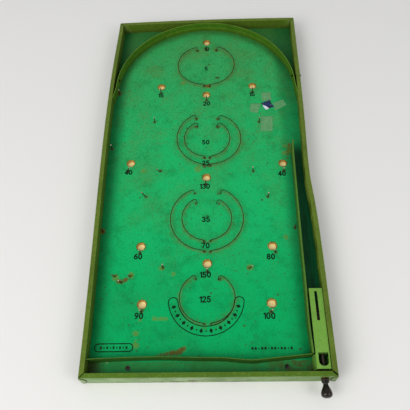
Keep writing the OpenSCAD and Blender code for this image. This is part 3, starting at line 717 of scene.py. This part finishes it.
# Strokes of each numeral, in a cell one unit high and one unit wide
DIGITS = {
    "0": [arc(0.31, 0.5, 0.22, 0.41, 0, 360, 32)],
    "1": [[(0.03, 0.78), (0.2, 0.91), (0.2, 0.09)]],
    "2": [arc(0.3, 0.68, 0.2, 0.23, 165, -35) + [(0.09, 0.09), (0.54, 0.09)]],
    "3": [arc(0.28, 0.705, 0.2, 0.2, 150, -80), arc(0.28, 0.305, 0.23, 0.215, 80, -155)],
    "4": [[(0.42, 0.09), (0.42, 0.91), (0.08, 0.31), (0.58, 0.31)]],
    "5": [[(0.5, 0.91), (0.15, 0.91), (0.13, 0.53)], arc(0.29, 0.335, 0.22, 0.245, 130, -150)],
    "6": [arc(0.31, 0.31, 0.21, 0.22, 0, 360, 24), arc(0.62, 0.31, 0.52, 0.62, 180, 112)],
    "7": [[(0.08, 0.91), (0.54, 0.91), (0.24, 0.09)]],
    "8": [arc(0.31, 0.71, 0.175, 0.19, 0, 360, 24), arc(0.31, 0.295, 0.215, 0.205, 0, 360, 24)],
    "9": [arc(0.31, 0.69, 0.21, 0.22, 0, 360, 24), arc(0.0, 0.69, 0.52, 0.62, 0, -68)],
}

# Size of a numeral's cell, the gap between cells, the width of a 1's cell, and the width of a stroke
DIGIT_HIGH = 8.7
DIGIT_WIDE = 5.3
DIGIT_GAP = 0.65
THIN_WIDE = 2.3
DIGIT_STROKE = 1.85

# Every printed score, with its middle on the board
SCORES = [
    ("10", 0, 557.9), ("5", -1.3, 511.5), ("15", -75.4, 453.9), ("15", 73.7, 451.1), ("20", -0.7, 433.8),
    ("50", -2.2, 355.8), ("25", -2.2, 316.9), ("40", -118, 302.9), ("40", 110.3, 294.8),
    ("130", -3.3, 275.2), ("35", -2, 220), ("70", -2.7, 179.2), ("60", -94.7, 164.3), ("80", 85.4, 160.9),
    ("150", -2.6, 136.1), ("125", -2.8, 101.8), ("90", -88.3, 80.7), ("100", 78.7, 78.8),
]


def to_strokes(px, py, strokes):
    """Distance of every grid point from the nearest stroke."""
    best = np.full(px.shape, 1e9)
    for stroke in strokes:
        for (ax, ay), (bx, by) in zip(stroke, stroke[1:]):
            dx, dy = bx - ax, by - ay
            t = np.clip(((px - ax) * dx + (py - ay) * dy) / (dx * dx + dy * dy), 0, 1)
            best = np.minimum(best, np.hypot(px - ax - t * dx, py - ay - t * dy))
    return best


def cloud(shape, cells):
    """Smooth random field between -1 and 1."""
    rough = SEED.uniform(-1, 1, (int(shape[0] / cells) + 3, int(shape[1] / cells) + 3))
    u = np.arange(shape[0])[:, None] / cells
    v = np.arange(shape[1])[None, :] / cells
    i, j = u.astype(int), v.astype(int)
    s, t = u - i, v - j
    s, t = s * s * (3 - 2 * s), t * t * (3 - 2 * t)
    return ((1 - s) * (1 - t) * rough[i, j] + s * (1 - t) * rough[i + 1, j]
            + (1 - s) * t * rough[i, j + 1] + s * t * rough[i + 1, j + 1])


# How far the ink stands above the field, and how deep it reaches into it
INK_ABOVE = 0.05
INK_BELOW = 0.02


def printed(name, distance, low, high, cell, wear=0.12):
    """A printed mark: the part of the box from low to high where distance(x, y) is below zero."""
    xs = np.arange(low[0], high[0] + cell, cell)
    ys = np.arange(low[1], high[1] + cell, cell)
    px, py = np.meshgrid(xs, ys, indexing="ij")
    f = distance(px, py) + wear * cloud(px.shape, 0.8 / cell) + 0.6 * wear * cloud(px.shape, 2.5 / cell)
    bm = bmesh.new()
    corners = {}

    def corner(i, j):
        if (i, j) not in corners:
            corners[i, j] = bm.verts.new(on_board(xs[i], ys[j], FIELD + INK_ABOVE))
        return corners[i, j]

    def crossing(a, b):
        a, b = min(a, b), max(a, b)
        if (a, b) not in corners:
            t = f[a] / (f[a] - f[b])
            x = xs[a[0]] + t * (xs[b[0]] - xs[a[0]])
            y = ys[a[1]] + t * (ys[b[1]] - ys[a[1]])
            corners[a, b] = bm.verts.new(on_board(x, y, FIELD + INK_ABOVE))
        return corners[a, b]

    inside = f < 0
    touched = inside[:-1, :-1] | inside[1:, :-1] | inside[:-1, 1:] | inside[1:, 1:]
    for i, j in np.argwhere(touched):
        square = [(i, j), (i + 1, j), (i + 1, j + 1), (i, j + 1)]
        outline = []
        for a, b in zip(square, square[1:] + square[:1]):
            if inside[a]:
                outline.append(corner(*a))
            if inside[a] != inside[b]:
                outline.append(crossing(a, b))
        if len(outline) > 2:
            bm.faces.new(outline)
    bmesh.ops.dissolve_degenerate(bm, dist=1e-7, edges=bm.edges)
    made = piece(name, bm, INK, smooth=False)
    thick = made.modifiers.new("film", "SOLIDIFY")
    thick.thickness = (INK_ABOVE + INK_BELOW) * MM
    thick.offset = -1
    return made


def number(text, x, y):
    """Strokes of a score, centred on its place."""
    wides = [THIN_WIDE if digit == "1" else DIGIT_WIDE for digit in text]
    left = x - (sum(wides) + DIGIT_GAP * (len(text) - 1)) / 2
    strokes = []
    for digit, wide in zip(text, wides):
        for stroke in DIGITS[digit]:
            strokes.append([(left + u * DIGIT_HIGH, y + (v - 0.5) * DIGIT_HIGH) for u, v in stroke])
        left += wide + DIGIT_GAP
    return strokes


def print_scores():
    """The numerals beside the cups and inside the hoops."""
    for k, (text, x, y) in enumerate(SCORES):
        half = 4 + 4 * len(text)
        printed(
            f"print_score_{text}_{k:02d}",
            lambda px, py, s=number(text, x, y): to_strokes(px, py, s) - DIGIT_STROKE / 2,
            (x - half, y - 6), (x + half, y + 6), 0.2,
        )


# Crescent round the bottom hoop: centre, outer and inner radius, and how far below the centre's
# line its tips lie
CRESCENT = (-1.8, 103)
CRESCENT_OUT = 49.2
CRESCENT_IN = 36.8
CRESCENT_TIP = math.radians(6)


def crescent(px, py):
    """The crescent's outline, with a row of lozenges and dots along its middle."""
    x, y = px - CRESCENT[0], py - CRESCENT[1]
    middle = (CRESCENT_OUT + CRESCENT_IN) / 2
    half = (CRESCENT_OUT - CRESCENT_IN) / 2
    ring = np.abs(np.hypot(x, y) - middle)
    below = y < -np.abs(x) * math.tan(CRESCENT_TIP)
    caps = np.hypot(np.abs(x) - middle * math.cos(CRESCENT_TIP), y + middle * math.sin(CRESCENT_TIP))
    band = np.where(below, ring, caps) - half
    outline = np.abs(band) - 0.65
    marks = np.full(px.shape, 1e9)
    for k, a in enumerate(np.radians(np.linspace(-165, -15, 19))):
        cx, cy = middle * math.cos(a), middle * math.sin(a)
        u = (x - cx) * math.cos(a) + (y - cy) * math.sin(a)
        v = -(x - cx) * math.sin(a) + (y - cy) * math.cos(a)
        if k % 2 == 0:
            mark = (np.abs(u) / 3.4 + np.abs(v) / 2.5 - 1) * 2.0
        else:
            mark = np.hypot(u, v) - 1.05
        marks = np.minimum(marks, mark)
    return np.minimum(outline, marks)


def dots_and_bars(x, y, count, every, dot, half_wide, half_high):
    """A centred row of bars 4 mm apart, in which the last of every few is a dot."""
    marks = np.full(x.shape, 1e9)
    for k in range(count):
        cx = 4 * k - 2 * (count - 1)
        if k % every == every - 1:
            mark = np.hypot(x - cx, y) - dot
        else:
            mark = np.maximum(np.abs(x - cx) - half_wide, np.abs(y) - half_high)
        marks = np.minimum(marks, mark)
    return marks


def pill(px, py):
    """Rounded frame with a plain row of dots and bars."""
    x, y = px + 117, py - 40.4
    frame_line = np.abs(np.hypot(np.maximum(np.abs(x) - 19, 0), y) - 4.9) - 0.7
    return np.minimum(frame_line, dots_and_bars(x, y, 9, 2, 0.95, 1.1, 1.7))


def footer_row(px, py):
    """Short row of bars and dots at the lower right."""
    return dots_and_bars(px - 79, py - 37.6, 13, 3, 0.8, 1.25, 1.6)


def print_ornaments():
    """Plain ornaments where the real board has lettering."""
    printed("print_crescent", crescent, (-52, 52), (49, 111), 0.3)
    printed("print_pill", pill, (-142.5, 34.5), (-91.5, 46.5), 0.25)
    printed("print_footer_row", footer_row, (52, 34.5), (107, 41), 0.25, wear=0.2)


# --- Nails, cups, spring and knob ---


def nail_axes():
    """Foot and tip of every CAD nail, for each node of nails."""
    axes = {"cup_nails": [], "field_nails": []}
    for node in axes:
        for corners in islands(node):
            middle = corners.mean(0)
            _, _, ways = np.linalg.svd(corners - middle, full_matrices=False)
            way = ways[0] * np.sign(ways[0][2])
            reach = (corners - middle) @ way
            axes[node].append((Vector(middle + way * reach.min()), Vector(middle + way * reach.max())))
    return axes


# Radii of a nail's shank and head
NAIL_SHANK = 0.75
NAIL_HEAD = 1.22


def make_nails(finish):
    """Each nail is a little worn at its head, in the place and lean of the CAD one."""
    for node, axes in NAIL_AXES.items():
        bm = bmesh.new()
        for foot, tip in axes:
            long = (tip - foot).length / MM
            way = (tip - foot).normalized()
            worn = SEED.uniform(0.9, 1.0)
            lathe(bm, [
                (0, 0), (0.5, 0.35), (1.4, NAIL_SHANK * 0.95), (long * 0.5, NAIL_SHANK),
                (long - 1.5, NAIL_SHANK * 0.98), (long - 0.95, NAIL_SHANK * 1.05),
                (long - 0.72, NAIL_HEAD * worn * 0.92), (long - 0.5, NAIL_HEAD * worn),
                (long - 0.22, NAIL_HEAD * worn * 0.9), (long - 0.05, NAIL_HEAD * worn * 0.5), (long, 0),
            ], foot, way, 14, wobble=0.04)
        piece(node + "_rusted", bm, finish, replaces=(node,))


# A rivet's outer head: distance along its axis and radius, and how far it stands past the CAD one's
RIVET_TAIL = [(-2.4, 0), (-2.3, 0.9), (-1.9, 1.6), (-1.1, 2.05), (-0.2, 2.2), (0.0, 2.1), (0.02, 1.2)]
RIVET_PAST = 1.4


def make_rivets(finish):
    """Rivets that hold the arch: a tall domed head outside, and a flatter one inside."""
    bm = bmesh.new()
    for corners in islands("arch_rivets"):
        middle = (corners.min(0) + corners.max(0)) / 2
        side = 1 if middle[0] > 0 else -1
        left, right = corners[:, 0].min(), corners[:, 0].max()
        long = (right - left) / MM - RIVET_PAST
        start = Vector((right if side > 0 else left, middle[1], middle[2]))
        start.x -= side * RIVET_PAST * MM
        head = [(long - 1.5, 1.2), (long - 1.4, 2.0), (long - 0.9, 2.1), (long - 0.4, 1.7),
                (long - 0.1, 0.9), (long, 0)]
        lathe(bm, RIVET_TAIL + head, start, (-side, 0, 0), 28, wobble=0.04)
    piece("arch_rivets_headed", bm, finish, replaces=("arch_rivets",))


# A cup's wall, up its outside and down its inside: height above the field, and radius
CUP_PROFILE = [
    (-5.0, 0), (-5.0, 4.9), (-4.85, 5.6), (-4.4, 5.95), (-0.3, 6.0), (0.0, 6.2), (0.02, 6.55), (0.18, 6.62),
    (0.38, 6.5), (0.5, 6.2), (0.48, 5.95), (0.34, 5.72), (0.05, 5.58), (-0.5, 5.5), (-3.6, 5.42),
    (-4.2, 5.2), (-4.5, 4.7), (-4.6, 4.0), (-4.56, 2.0), (-4.5, 0),
]


def make_cups(finish):
    """Turned cups, each pressed into its seat with a rolled flange."""
    for node in sorted(NODES):
        if not node.startswith("cup_") or node == "cup_nails":
            continue
        low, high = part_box(node)
        centre = Vector(((low.x + high.x) / 2, (low.y + high.y) / 2, FIELD * MM))
        bm = bmesh.new()
        lathe(bm, CUP_PROFILE, centre, (0, 0, 1), 56, wobble=0.03)
        piece(node + "_eyelet", bm, finish, replaces=(node,))


SPRING_WIRE = 0.42
SPRING_TURNS = 13
SPRING_STEPS = 28


def make_spring(finish):
    """The coil, smoother than the CAD one. It is squeezed against the tab as the plunger comes out."""
    low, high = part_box("plunger_spring")
    wire = SPRING_WIRE * MM
    radius = (high.x - low.x) / 2 - wire
    middle = Vector(((low.x + high.x) / 2, 0, (low.z + high.z) / 2))
    first, last = low.y + wire, high.y - wire
    count = SPRING_TURNS * SPRING_STEPS
    bm = bmesh.new()
    path = []
    for i in range(count + 1):
        a = math.tau * i / SPRING_STEPS
        y = first + (last - first) * i / count
        path.append(middle + Vector((radius * math.cos(a), y, radius * math.sin(a))))
    tube(bm, path, wire, 10)
    made = piece("plunger_spring_coil", bm, finish, replaces=("plunger_spring",))
    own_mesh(made)


# Turned knob: distance toward the player as a share of its length, and radius in mm
KNOB_OUTLINE = [
    (0, 4.2), (0.02, 4.7), (0.045, 4.9), (0.1, 4.9), (0.125, 4.6), (0.14, 4.2), (0.155, 4.45), (0.18, 4.5),
    (0.2, 4.2), (0.215, 3.6), (0.24, 3.15), (0.29, 3.0), (0.34, 3.2), (0.42, 3.95), (0.5, 4.8),
    (0.6, 5.85), (0.7, 6.5), (0.78, 6.72), (0.85, 6.55), (0.91, 5.9), (0.95, 4.95), (0.975, 3.9),
    (0.985, 3.1), (0.99, 2.7), (0.995, 2.4), (1.0, 1.6), (1.0, 0),
]


def make_knob(finish):
    """The knob, turned round the end of the rod."""
    low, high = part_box("knob")
    centre = Vector(((low.x + high.x) / 2, high.y, (low.z + high.z) / 2))
    long = (high.y - low.y) / MM
    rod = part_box("plunger_rod")
    bore = (rod[1].x - rod[0].x) / 2 / MM
    deep = (high.y - rod[0].y) / MM
    bm = bmesh.new()
    profile = [(deep, 0), (deep, bore), (0, bore)]
    profile += [(share * long, radius) for share, radius in KNOB_OUTLINE]
    lathe(bm, profile, centre, (0, -1, 0), 72)
    made = piece("knob_turned", bm, finish, body="plunger", replaces=("knob",))
    made.data.set_sharp_from_angle(angle=math.radians(50))


# --- Tape strips and the packet ---

TAPE_THICK = 0.1
TAPE_CELLS = 26
PACKET_CELLS = 30


def between(a, b, c, d, u, v):
    """The place at u and v inside the four-cornered outline a, b, c, d."""
    return (a * (1 - u) + b * u) * (1 - v) + (d * (1 - u) + c * u) * v


def closed_sheet(bm, count, place):
    """A sheet of count by count cells. place(i, j) gives its plan, its top and its underside there."""
    top, bottom = {}, {}
    for i in range(count + 1):
        for j in range(count + 1):
            (x, y), high, low = place(i, j)
            top[i, j] = bm.verts.new((x, y, high))
            bottom[i, j] = bm.verts.new((x, y, low))
    for i in range(count):
        for j in range(count):
            bm.faces.new((top[i, j], top[i + 1, j], top[i + 1, j + 1], top[i, j + 1]))
            bm.faces.new((bottom[i, j], bottom[i, j + 1], bottom[i + 1, j + 1], bottom[i + 1, j]))
    border = ([(i, 0) for i in range(count)] + [(count, j) for j in range(count)]
              + [(i, count) for i in range(count, 0, -1)] + [(0, j) for j in range(count, 0, -1)])
    for p, q in zip(border, border[1:] + border[:1]):
        bm.faces.new((top[p], top[q], bottom[q], bottom[p]))


def make_tapes(finish):
    """Each strip follows the field, with ragged ends and small waves."""
    bm = bmesh.new()
    for corners in islands("tape_strips"):
        plan = corners[:, :2]
        middle = plan.mean(0)
        turn = np.argsort(np.arctan2(*(plan - middle).T[::-1]))
        ring = []
        for k in turn:
            if not ring or np.linalg.norm(plan[k] - ring[-1]) > 0.5 * MM:
                ring.append(plan[k])
        if np.linalg.norm(ring[0] - ring[-1]) < 0.5 * MM:
            ring.pop()
        a, b, c, d = [np.array(p) for p in ring[:4]]
        phase = SEED.uniform(0, math.tau, 3)
        long_way = (d - a) / np.linalg.norm(d - a)

        def place(i, j):
            u, v = i / TAPE_CELLS, j / TAPE_CELLS
            p = between(a, b, c, d, u, v)
            rag = 0.22 * MM * math.sin(i * 2.6 + phase[0]) * (1 if j in (0, TAPE_CELLS) else 0)
            p = p + long_way * rag * (-1 if j == 0 else 1) * 0.6
            wave = 0.5 + 0.5 * math.sin(7 * u + 3 * v + phase[1]) * math.sin(5 * v - 4 * u + phase[2])
            edge = min(u, 1 - u, v, 1 - v)
            lift = 0.02 + 0.17 * wave * min(1, edge * 8)
            z = (FIELD + lift) * MM
            return p, z + TAPE_THICK * MM, z

        closed_sheet(bm, TAPE_CELLS, place)
    piece("tape_strips_film", bm, finish, replaces=("tape_strips",))


def make_packet(finish):
    """A small folded packet: a soft rounded slab with creases and a step where it folds."""
    corners = np.array([v.co for v in NODES["taped_packet"].data.vertices])
    low_z, high_z = corners[:, 2].min(), corners[:, 2].max()
    plan = corners[:, :2]
    middle = (plan.min(0) + plan.max(0)) / 2
    outline = {tuple(np.round(p / MM, 1)) for p in plan}
    ring = sorted((np.array(p) * MM for p in outline), key=lambda p: math.atan2(*(p - middle)[::-1]))
    a, b, c, d = ring[:4]

    def place(i, j):
        u, v = i / PACKET_CELLS, j / PACKET_CELLS
        p = between(a, b, c, d, u, v)
        edge = min(u, 1 - u, v, 1 - v)
        pull = 1 - 0.05 * math.sin(9 * u + 2) * math.sin(8 * v + 1)
        p = middle + (p - middle) * pull * 0.97
        crown = min(1.0, edge * 5) ** 0.6
        crease = 0.16 * math.sin(14 * u - 6 * v) + 0.14 * math.sin(17 * v + 5 * u + 1.3)
        fold = 0.25 if u + v > 1.05 else 0
        tall = (high_z - low_z) * (0.16 + 0.62 * crown * (0.78 + crease * 0.5) + 0.12 * fold * crown)
        return p, low_z + tall, low_z + 0.02 * MM

    bm = bmesh.new()
    closed_sheet(bm, PACKET_CELLS, place)
    piece("taped_packet_folded", bm, finish, replaces=("taped_packet",))


# The packet's fold: the way across it in plan, and how far along that way it lies
PACKET_AT = (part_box("taped_packet")[0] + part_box("taped_packet")[1]) / 2 / MM
PACKET_WAY = (0.62, 0.78)
PACKET_FOLD = PACKET_WAY[0] * (PACKET_AT.x - 3) + PACKET_WAY[1] * (PACKET_AT.y - 3)

# --- The scene ---

make_camera()
NAIL_AXES = nail_axes()
INK = ink_finish()

# Each paint gives top, side, dark and edge colours: the darker side colour is painted shade, and the pale
# front colour is a painted reflection of the floor
rim = painted("rim_paint", colour(98, 120, 38), colour(82, 110, 26), colour(62, 80, 22),
              colour(146, 164, 92), front=colour(150, 176, 124))
front = painted("front_paint", colour(84, 116, 28), colour(84, 116, 28), colour(58, 88, 22),
                colour(150, 172, 100), front=colour(152, 178, 126))
band = painted("band_paint", colour(112, 148, 44), colour(72, 116, 18), colour(56, 88, 22),
               colour(150, 176, 90), rust_at=0.7)
divider = painted("divider_paint", colour(84, 128, 44), colour(66, 108, 34), colour(58, 78, 24),
                  colour(120, 156, 76), rust_at=0.67)
strip = painted("strip_paint", colour(78, 116, 34), colour(46, 92, 22), colour(44, 66, 20),
                colour(112, 146, 66), rust_at=0.68)
cover = painted("cover_paint", colour(116, 166, 66), colour(104, 152, 58), colour(92, 138, 50),
                colour(160, 196, 112), rust_at=0.74, grime=0.25, foot_shade=0.3)
wire = wire_finish()

for rail in ("left_rail", "right_rail", "rear_rail"):
    dress(rail, rim, bevel=0.3)
dress("front_rail", front, bevel=0.3)
dress("playfield", field_finish())
dress("arch_band", band, bevel=0.2)
dress("lane_divider", divider, bevel=0.25)
dress("bottom_strip", strip, bevel=0.25)
dress("plunger_cover", cover, bevel=0.2)
dress("front_bush", steel_finish("bush_steel", colour(110, 76, 48), colour(64, 44, 28), 0.8), bevel=0.15)
dress("plunger_rod", steel_finish("rod_steel", colour(92, 86, 76), colour(48, 44, 38), 0.35))
striker = steel_finish("striker_steel", colour(40, 34, 28), colour(22, 18, 15), 0.4, rough=0.55)
dress("striker_head", striker, bevel=0.2)
dress("rear_stand", steel_finish("stand_wire", colour(150, 146, 138), colour(98, 94, 86), 0.5), smooth=1)
dress("stand_clips", steel_finish("clip_tin", colour(158, 156, 148), colour(112, 108, 100), 0.4), bevel=0.1)
for name in NODES:
    if name.startswith("hoop_"):
        dress(name, wire, smooth=1)

make_rivets(steel_finish("rivet_steel", colour(44, 36, 26), colour(24, 20, 15), 0.3, rough=0.55))
make_nails(nail_finish())
make_cups(cup_finish())
make_spring(steel_finish("spring_steel", colour(128, 122, 112), colour(78, 72, 64), 0.35))
make_knob(bronze_finish())
make_tapes(tape_finish())
make_packet(packet_finish())
print_scores()
print_ornaments()

# Floor, sky and soft boxes
floor_grid = bmesh.new()
bmesh.ops.create_grid(floor_grid, x_segments=1, y_segments=1, size=4)
floor_mesh = bpy.data.meshes.new("floor")
floor_grid.to_mesh(floor_mesh)
floor_grid.free()
floor = new_object("floor", floor_mesh)
floor.location = (0, 0.3, -0.0002)
floor.data.materials.append(stage_finish())

world = bpy.data.worlds.new("studio")
world.use_nodes = True
sky = world.node_tree.nodes["Background"]
sky.inputs["Color"].default_value = (0.95, 0.97, 0.985, 1)
sky.inputs["Strength"].default_value = 0.5
bpy.context.scene.world = world
area_light("soft_left", (-1.3, -0.9, 1.5), (0, 0.28, 0), (1.4, 1.4), 27)
area_light("soft_right", (1.3, -0.7, 1.4), (0, 0.28, 0), (1.0, 1.0), 9)

bpy.context.scene.view_settings.view_transform = "Standard"
